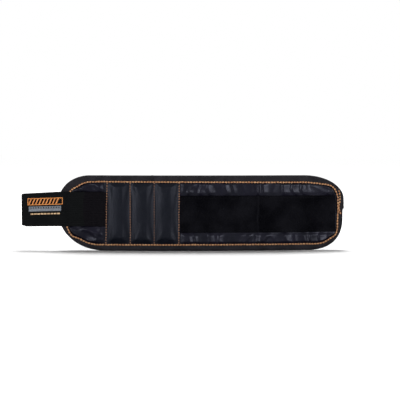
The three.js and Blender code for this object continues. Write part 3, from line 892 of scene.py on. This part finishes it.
# Loop strip
cols = spread(*STRIP_U, 0.9, [*CUTS, CREASE_U, *rim(STRIP_U[0]), *rim(STRIP_U[1], -1)])
u, z = np.meshgrid(cols, spread(*STRIP_Z, 0.9, [*rim(STRIP_Z[0]), *rim(STRIP_Z[1], -1)]), indexing="ij")
z = z + 0.25 * noise(u / 30, z / 200, 57) + 0.9 * near(u, CREASE_U, 8) * 0.3
front = strip_front(u, z)
back = np.full_like(front, STRIP_BACK)
cloth_pieces("pile_strip", cols, (u, z, front, back), PILE, "loop_strip_", "loop_",
             first=-2)

# Strap with the tab, cut where its sewn end begins to follow the band
cols = spread(TAB_TIP, END_U + 1.2, 0.9, [STRAP_CUT, TAB_U, *rim(TAB_TIP, count=4)])
cut = corner_cut(cols, TAB_TIP)
u, z = between(cols, strap_low(cols) + cut, strap_high(cols) - cut, 46)
front = strap_front(u, z)
grids = u, z, front, front + STRAP_THICK
cut_at, last = int(np.argmin(np.abs(cols - STRAP_CUT))), len(cols) - 1
bend(cloth_piece("strap_tab", grids, 0, cut_at, WEBBING, ["tab_strap", "strap_anchor"],
                 on_tab=True), "tab")
bend(cloth_piece("strap_root", grids, cut_at, last, WEBBING, ["strap_anchor"],
                 on_tab=True), 0)

# ---------------------------------------------------------------- binding

LAP_LOW, LAP_HIGH = 43.0, 55.0
lower_start, upper_end = -(LAP_HIGH - MIDDLE), ROUND + (MIDDLE - LAP_LOW)


def round_at(column, top):
    """How far round the outline its top or its bottom crosses a column."""
    pick = np.where((fine[:, 1] > MIDDLE) == top)[0]
    s = float(fine_s[pick[np.argmin(np.abs(fine[pick, 0] - column))]])
    for _ in range(20):
        here, ahead = on_outline(s)[0][0], on_outline(s + 0.1)[0][0]
        s = s + (column - here) / ((ahead - here) / 0.1)
    return float(s)


def lap(s):
    """From 0 to 1 where the upper end of the tape comes to lie on the lower one."""
    return smooth((s - (ROUND - LAP_REACH)) / LAP_RAMP)


marks = [lower_start, *[round_at(c, False) for c in CUTS[::-1]], *[round_at(c, True) for c in CUTS], upper_end]
s_rows = spread(lower_start, upper_end, 1.15, marks[1:-1])
point, normal = on_outline(s_rows)
ds = stitch_inset(s_rows)
bent = np.abs(np.gradient(np.unwrap(np.arctan2(normal[:, 1], normal[:, 0]))) / np.gradient(s_rows))
bent = np.convolve(np.pad(bent, 4, mode="edge"), np.ones(9) / 9, "valid")


def tape_section(i):
    """The folded tape's section at row i as (distance in, depth) round its outside, then its inside."""
    s, d, upper = s_rows[i], ds[i], lap(s_rows[i])
    w = d + 1.15 + 0.18 * float(noise(s / 9, 1.5, 81))
    up = LAP_RISE * upper
    notch = 0.9 * math.exp(-((point[i, 0] - 113.6) / 1.0) ** 2) * (s > ROUND / 2)
    ripple = -notch + 0.10 * float(noise(s / 5, 3.5, 82)) + 0.16 * float(noise(s / 13, 4.5, 83))
    gathered = min(1.0, bent[i] * 30) * 0.35 * float(noise(s / 3.0, 6.5, 84))
    puff = (0.42 + ripple) * (1 - 0.75 * upper)
    f = TAPE_FRONT - CELL_RISE * over_cells(point[i, 0]) - up
    b = TAPE_BACK + up
    return [
        (w, f + 0.35), (w - 0.35, f + 0.02 + 0.5 * gathered), (d + 0.45, f + 0.12), (d, f + 0.24),
        (d - 0.7, f + 0.05), (d * 0.72, f - puff - gathered), (d * 0.48, f - puff * 1.1 - 0.6 * gathered),
        (d * 0.25, f - puff * 0.55),
        (0.75 - 0.3 * up, f + 0.10), (0.22 - up, f + 0.62), (-0.02 - up + 0.3 * ripple, f + 1.5),
        (-0.05 - up + 0.35 * ripple, 1.3), (-0.02 - up + 0.3 * ripple, b - 1.4), (0.22 - up, b - 0.6),
        (0.75 - 0.3 * up, b - 0.10), (d * 0.25, b + 0.12), (d * 0.5, b + 0.2 + ripple),
        (d * 0.75, b + 0.15 + ripple + gathered), (d - 0.7, b - 0.02), (d, b - 0.15), (d + 0.45, b - 0.1),
        (w - 0.35, b - 0.02), (w, b - 0.35),
        (w, b - 0.75), (d * 0.5, b - 0.8), (0.85 - up, b - 0.8), (0.8 - up, 1.3), (0.85 - up, f + 0.8),
        (d * 0.5, f + 0.78), (w, f + 0.75),
    ]


sections = np.array([tape_section(i) for i in range(len(s_rows))])
dist, depth = sections[..., 0], sections[..., 1]
end_slant = 6.0 * smooth((s_rows - (upper_end - 16.0)) / 16.0)
point_each, normal_each = on_outline(s_rows[:, None] - end_slant[:, None] * np.clip(1 - dist / 9.0, 0, 1.1))
places = point_each + normal_each * dist[..., None]
ring_run = np.concatenate([[0], np.cumsum(np.linalg.norm(np.diff(sections[0], axis=0), axis=1))])
tape_uv = np.stack(np.meshgrid(s_rows, ring_run, indexing="ij"), -1) * MM
tape_places = lay(places[..., 0], depth, places[..., 1])


def tape_piece(name, mark, hinge, *nodes):
    """The tape from one mark to the next."""
    i0, i1 = (int(np.argmin(np.abs(s_rows - m))) for m in marks[mark:mark + 2])
    piece = tube_slice(name, tape_places, tape_uv, i0, i1, TAPE)
    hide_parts(*nodes)
    bend(piece, hinge)


tape_piece("tape_far_end_lower", 0, 6, "binding_far_end_lower", "binding_bottom_loop_3")
for k in range(5, 0, -1):
    tape_piece("tape_bottom_%d" % (k + 1), 6 - k, k, *["binding_bottom_" + link for link in LINKS[k:k + 2]])
tape_piece("tape_tab_end", 6, 0, "binding_tab_end", "binding_bottom_cell_1", "binding_top_cell_1")
for k in range(1, 6):
    tape_piece("tape_top_%d" % (k + 1), 6 + k, k, *["binding_top_" + link for link in LINKS[k:k + 2]])
tape_piece("tape_far_end_upper", 12, 6, "binding_far_end_upper", "binding_top_loop_3")

# ---------------------------------------------------------------- stitches

FRONT, BACK = -1, 1
FLATTENED, SUNK = 0.6, 0.15


def stitches(path, heights, outward, length, gap, radius, sides=8, rings=7):
    """Stitches along a flat path of points (u, z) at the depths of the cloth, standing out to the front or the back.
    Gives for each of them its flat places u, y and z, its uvs and its middle's u."""
    dist_along = np.concatenate([[0], np.cumsum(np.linalg.norm(np.diff(path, axis=0), axis=1))])
    count = max(1, int(dist_along[-1] / (length + gap)))
    pitch = dist_along[-1] / count
    ts = np.linspace(-1, 1, rings)
    thick = (radius * np.sqrt(np.clip(1 - np.abs(ts) ** 3.0, 0.03, 1)))[:, None]
    bow = (radius * FLATTENED * (1 - 0.9 * np.abs(ts) ** 2.2) - SUNK)[:, None]
    turn = np.linspace(0, 2 * math.pi, sides, endpoint=False)
    rise = thick * FLATTENED * np.sin(turn) + bow
    made = []
    for n in range(count):
        along = (n + 0.5) * pitch + ts * (pitch - gap) / 2
        cu, cz, cy = (np.interp(along, dist_along, line)[:, None] for line in (path[:, 0], path[:, 1], heights))
        tu, tz = cu[-1, 0] - cu[0, 0], cz[-1, 0] - cz[0, 0]
        norm = math.hypot(tu, tz) or 1.0
        across = thick * np.cos(turn) + 0.12 * float(noise(n * 0.7, outward + 3.3, 91))
        uv = np.stack(np.meshgrid(along, turn * radius, indexing="ij"), -1)
        made.append((cu - tz / norm * across, cy + outward * rise, cz + tu / norm * across, uv, cu[rings // 2, 0]))
    return made


def sewn_piece(name, made, material, on_tab=False):
    """One piece from a number of stitches."""
    parts = []
    for *flat, uv, _ in made:
        places = lay(*flat, on_tab).reshape(-1, 3)
        quads, ends = tube_faces(places, *uv.shape[:2])
        parts.append((places, [*quads, *ends], uv.reshape(-1, 2) * MM))
    piece = joined(name, parts, material)
    return piece


def sew(name, made, material, first=1):
    """Pieces of stitches for the slices of the band that they lie on."""
    groups = {}
    for stitch in made:
        groups.setdefault(int(np.searchsorted(CUTS, stitch[-1])), []).append(stitch)
    for k, group in groups.items():
        bend(sewn_piece("%s_%d" % (name, k + first), group, material), k)


def rectangle(across, up):
    """A path round a rectangle, a point each half millimetre."""
    corners = [(across[i], up[j]) for i, j in ((0, 0), (1, 0), (1, 1), (0, 1), (0, 0))]
    return np.concatenate([np.linspace(a, b, int(math.dist(a, b) / 0.5), endpoint=False)
                           for a, b in zip(corners, corners[1:])])


# Border stitches, front and back, following the binding
s_path = np.arange(lower_start + 1.5, upper_end - 1.0, 0.5)
p, n = on_outline(s_path)
path = p + n * stitch_inset(s_path)[:, None]
up = lap(s_path)
front = TAPE_FRONT - CELL_RISE * over_cells(p[:, 0]) - 0.7 * LAP_RISE * up + 0.2
border = stitches(path, front, FRONT, 3.3, 0.14, 0.94)
border_back = stitches(path, TAPE_BACK + LAP_RISE * up - 0.12, BACK, 3.2, 0.3, 0.75)

# Second row at the far end, from the upper corner down past the lap
second = np.array([(337.6, 72.4), (339.2, 69.5), (339.9, 64.0), (339.7, 58.5), (338.6, 54.0), (338.3, 50.5),
                   (339.4, 46.0), (341.0, 42.8)])
m = np.linspace(0, len(second) - 1, 80)
path = np.stack([np.interp(m, np.arange(len(second)), second[:, i]) for i in (0, 1)], -1)
up = LAP_RISE * smooth((MIDDLE + LAP_REACH - path[:, 1]) / LAP_RAMP)
border += stitches(path, TAPE_FRONT - up + 0.25, FRONT, 3.2, 0.2, 0.85)
border_back += stitches(path, TAPE_BACK + up - 0.12, BACK, 3.0, 0.35, 0.6)
sew("border_stitches_front", border, ORANGE)
sew("border_stitches_back", border_back, ORANGE)

# Stitch lines between the cells; the first one runs over the strap
rows, rows_back = [], []
for i, (_, _, radius, sunk) in enumerate(CELL_LINES):
    zz = np.linspace(CELL_HIGH, CELL_LOW, 90)
    uu = cell_line(i, zz)
    line = np.stack([uu, zz], -1)
    over_strap = 0.55 * smooth((21.8 - np.abs(zz - 49.3)) / 1.2) if i == 0 else np.zeros_like(zz)
    rows += stitches(line, CHANNEL - 0.05 - over_strap + sunk, FRONT, 2.2, 0.8, radius)
    rows_back += stitches(line, lining_back(uu, zz, depth_in(uu, zz)[0]) - 0.1, BACK, 2.6, 0.4, 0.6)
sew("cell_stitches_front", rows, COPPER)
sew("cell_stitches_back", rows_back, COPPER)

# Black stitches round the loop strip
SEAM_IN = 2.6
path = rectangle((STRIP_U[0] + SEAM_IN, STRIP_U[1] - SEAM_IN), (STRIP_Z[0] + SEAM_IN, STRIP_Z[1] - SEAM_IN))
seams = stitches(path, strip_front(path[:, 0], path[:, 1]) + 0.1, FRONT, 2.6, 0.7, 0.32, rings=5, sides=6)
sew("loop_strip_stitches", seams, BLACK, -2)

# ---------------------------------------------------------------- hook patch and its hooks

cols = spread(*PATCH_U, 1.2, rim(PATCH_U[0]))
cut = corner_cut(cols, PATCH_U[0])
rise = 0.9 * (cols - PATCH_U[0]) / (PATCH_U[1] - PATCH_U[0])
u, z = between(cols, PATCH_Z[0] + rise + cut, PATCH_Z[1] - cut, 34)
front = PATCH_FRONT + 0.02 * noise(u / 5, z / 5, 99)
edge = edge_distance(u, z, PATCH_U, PATCH_Z)
back = PATCH_BACK - 0.25 * np.clip(1 - edge / 0.8, 0, 1) + 0.05 * noise(u / 8, z / 8, 98)
piece = cloth_piece("hook_base", (u, z, front, back), 0, len(cols) - 1, HOOK, ["hook_patch"],
                    on_tab=True)
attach(piece, "tab_link")

# One hook: rings of five points that lean over and get thinner towards its tip
HOOK_LEAN = np.array([0.0, 0.0, 0.06, 0.24, 0.46, 0.56])[:, None]
HOOK_TALL = np.array([-0.1, 0.24, 0.46, 0.60, 0.55, 0.40])[:, None]
HOOK_THICK = np.array([0.17, 0.15, 0.14, 0.13, 0.12, 0.07])[:, None]
HOOK_PITCH_U, HOOK_PITCH_Z = 1.5, 1.7
turn = 2 * math.pi * np.arange(5) / 5
tip = (np.arange(6) > 3)[:, None]
hook_u, hook_z = HOOK_THICK * np.cos(turn), HOOK_THICK * np.sin(turn) * np.where(tip, 0.6, 1.0)
hook_y = PATCH_BACK + HOOK_TALL + np.where(tip, 0.5 * HOOK_THICK * np.sin(turn), 0.0)
idx = np.arange(30).reshape(6, 5)
nxt = np.roll(idx, -1, axis=1)
hook_faces = [*np.stack([idx[:-1], nxt[:-1], nxt[1:], idx[1:]], -1).reshape(-1, 4), idx[0][::-1], idx[-1]]
parts = []
for i, hu in enumerate(np.arange(PATCH_U[0] + 3.4, PATCH_U[1] - 3.2, HOOK_PITCH_U)):
    for j, hz in enumerate(np.arange(PATCH_Z[0] + 3.6, PATCH_Z[1] - 3.2, HOOK_PITCH_Z)):
        u = hu + 0.12 * float(noise(i * 1.3, j * 1.7, 101)) + hook_u
        z = hz + HOOK_PITCH_Z / 4 * (i % 2) + (HOOK_LEAN if i % 2 else -HOOK_LEAN) + hook_z
        parts.append((lay(u, hook_y, z, True).reshape(-1, 3), hook_faces, flat_uv(u, z)))
piece = joined("hooks", parts, HOOK)
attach(piece, "tab_link")

# Stitches round the patch, and where they come through on the tab's face
seam_u = (PATCH_U[0] + 2.0, PATCH_U[1] - 1.6)
path = rectangle(seam_u, (PATCH_Z[0] + 2.0, PATCH_Z[1] - 2.0))
made = stitches(path, np.full(len(path), PATCH_BACK), BACK, 2.4, 0.6, 0.34, rings=5, sides=6)
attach(sewn_piece("hook_patch_stitches", made, BLACK, True), "tab_link")
path = path[(path[:, 1] > strap_low(path[:, 0]) + 1.2) & (path[:, 0] < seam_u[1] - 0.3)]
made = stitches(path, np.full(len(path), TAB_FACE), FRONT, 2.4, 0.6, 0.3, rings=5, sides=6)
made = [stitch for stitch in made if stitch[-1] < TAB_BEND_TO]
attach(sewn_piece("tab_stitches", made, BLACK, True), "tab_link")

# ---------------------------------------------------------------- print on the tab: stripes, a ruled bar and dashes

PRINT_THICK, PRINT_SUNK, PRINT_SLOPE = 0.16, 0.2, 0.035


def slab(u0, u1, z0, z1, lean=0.0):
    """Corners of a printed bar, its top shifted by lean."""
    return np.array([(u0, z0), (u1, z0), (u1 + lean, z1), (u0 + lean, z1)])


def print_plates(name, slabs, material):
    """Thin raised print from slabs, cut fine enough to bend and a little aslant on the tab."""
    parts = []
    for q in slabs:
        width = max(np.linalg.norm(q[1] - q[0]), np.linalg.norm(q[2] - q[3]))
        nu, nz = max(2, int(width / 0.9) + 1), max(2, int(np.linalg.norm(q[3] - q[0]) / 1.2) + 1)
        a, b = np.meshgrid(np.linspace(0, 1, nu), np.linspace(0, 1, nz), indexing="ij")
        shares = (1 - a) * (1 - b), a * (1 - b), a * b, (1 - a) * b
        u, z = (sum(share * at for share, at in zip(shares, q[:, i])) for i in (0, 1))
        z = z + PRINT_SLOPE * (u + 15)
        y = strap_front(u, z)
        inside = np.minimum(np.minimum(a, 1 - a) * (nu - 1), np.minimum(b, 1 - b) * (nz - 1)) > 0.5
        top = y - PRINT_THICK * np.where(inside, 1.0, 0.55)
        verts = np.concatenate([lay(u, depth, z, True).reshape(-1, 3) for depth in (top, y + PRINT_SUNK)])
        uv = flat_uv(u, z)
        parts.append((verts, closed_faces(nu, nz), np.concatenate([uv, uv])))
    piece = joined(name, parts, material)
    bend(piece, "tab")


u0, u1, z0, z1 = -37.4, 6.2, 54.4, 62.8
line, stripe, lean = 0.9, 1.7, 3.4
border = [slab(u0, u1, z0, z0 + line), slab(u0, u1, z1 - line, z1),
          slab(u0, u0 + line, z0, z1), slab(u1 - line, u1, z0, z1)]
slanting = [slab(x, x + stripe, z0 + 0.5, z1 - 0.5, lean) for x in np.arange(u0 + 0.6, u1 - 5.4, 4.2)]
print_plates("tab_print_stripes", border + slanting, PRINT_ORANGE)

u0, u1, z0, z1 = -36.0, 4.2, 46.8, 52.8
ticks = [slab(x, x + 2.2, z0 + 3.3, z1 - 0.7) for x in np.arange(u0, u1 - 2.19, 3.16)]
print_plates("tab_print_rule", [slab(u0, u1, z0, z0 + 3.4), slab(u0, u1, z1 - 0.8, z1)] + ticks, PRINT_GREY)

dashes = [slab(x, x + 3.4, 42.9, 44.5) for x in np.arange(-33.6, -0.6, 4.1)]
print_plates("tab_print_dashes", dashes, PRINT_TAN)

# ---------------------------------------------------------------- floor, light and camera

def place_object(name, data):
    obj = bpy.data.objects.new(name, data)
    bpy.context.scene.collection.objects.link(obj)
    return obj


# Area lights: place in metres, size across and up, and power in watts
LIGHTS = (("key", (-0.86, -1.04, 0.23), (0.34, 0.42), 9.0), ("fill", (0.86, -1.04, 0.23), (0.34, 0.42), 9.0),
          ("back", (0.05, 0.51, 1.5), (0.6, 0.6), 28.2))
LIT_POINT = Vector((0, 0, 0.05))
for name, place, size, power in LIGHTS:
    data = bpy.data.lights.new(name, "AREA")
    data.shape = "RECTANGLE"
    data.size, data.size_y = size
    data.energy = power
    obj = place_object(name, data)
    obj.location = place
    obj.rotation_euler = (LIT_POINT - Vector(place)).to_track_quat("-Z", "Y").to_euler()

# A white world that the camera and reflections see in full, and that lights the scene only a little
WORLD_LIGHT = 0.12
world = bpy.data.worlds.new("studio")
bpy.context.scene.world = world
sky = Nodes(world)
ray = sky.node("LightPath").outputs
seen = sky.math("MAXIMUM", ray["Is Camera Ray"], ray["Is Glossy Ray"])
seen = sky.math("MAXIMUM", seen, ray["Is Transmission Ray"])
background = sky.tree.nodes["Background"]
sky.put(background.inputs["Strength"], sky.node("MapRange", seen, 0.0, 1.0, WORLD_LIGHT, 1.0).outputs[0])
sky.put(background.inputs["Color"], (1, 1, 1, 1))

# A floor that glows towards its rim, for the camera alone, and so fades into the world
GLOW_FROM, GLOW_TO, GLOW = 0.12, 0.5, 0.9
floor_material = bpy.data.materials.new("floor")
ground = Nodes(floor_material)
ground.tree.nodes.clear()
away = ground.node("VectorMath", ground.node("NewGeometry").outputs["Position"], operation="LENGTH")
grow = ground.node("MapRange", away.outputs["Value"], GLOW_FROM, GLOW_TO, 0.0, GLOW).outputs[0]
shown = ground.times(ground.node("LightPath").outputs["Is Camera Ray"], grow)
plain = ground.node("BsdfDiffuse", (0.8, 0.8, 0.8, 1)).outputs[0]
both = ground.node("AddShader", plain, ground.node("Emission", (1, 1, 1, 1), shown).outputs[0])
ground.node("OutputMaterial", both.outputs[0])
floor = make("floor", [(-6, -6, 0), (6, -6, 0), (6, 6, 0), (-6, 6, 0)], [(0, 1, 2, 3)], None, floor_material)
floor.location.z = -0.0002

ELEVATION, ACROSS = math.radians(3.2), 0.4778
AIM = Vector((0.0206, -0.004, 0.0605))
camera = bpy.data.cameras.new("camera")
camera.lens = 100
camera.sensor_width = 36
camera.clip_end = 50
camera_obj = place_object("camera", camera)
distance = ACROSS * camera.lens / camera.sensor_width
camera_obj.location = AIM + Vector((0, -math.cos(ELEVATION), math.sin(ELEVATION))) * distance
camera_obj.rotation_euler = (math.pi / 2 - ELEVATION, 0, 0)
bpy.context.scene.camera = camera_obj

bpy.context.scene.view_settings.view_transform = "Standard"
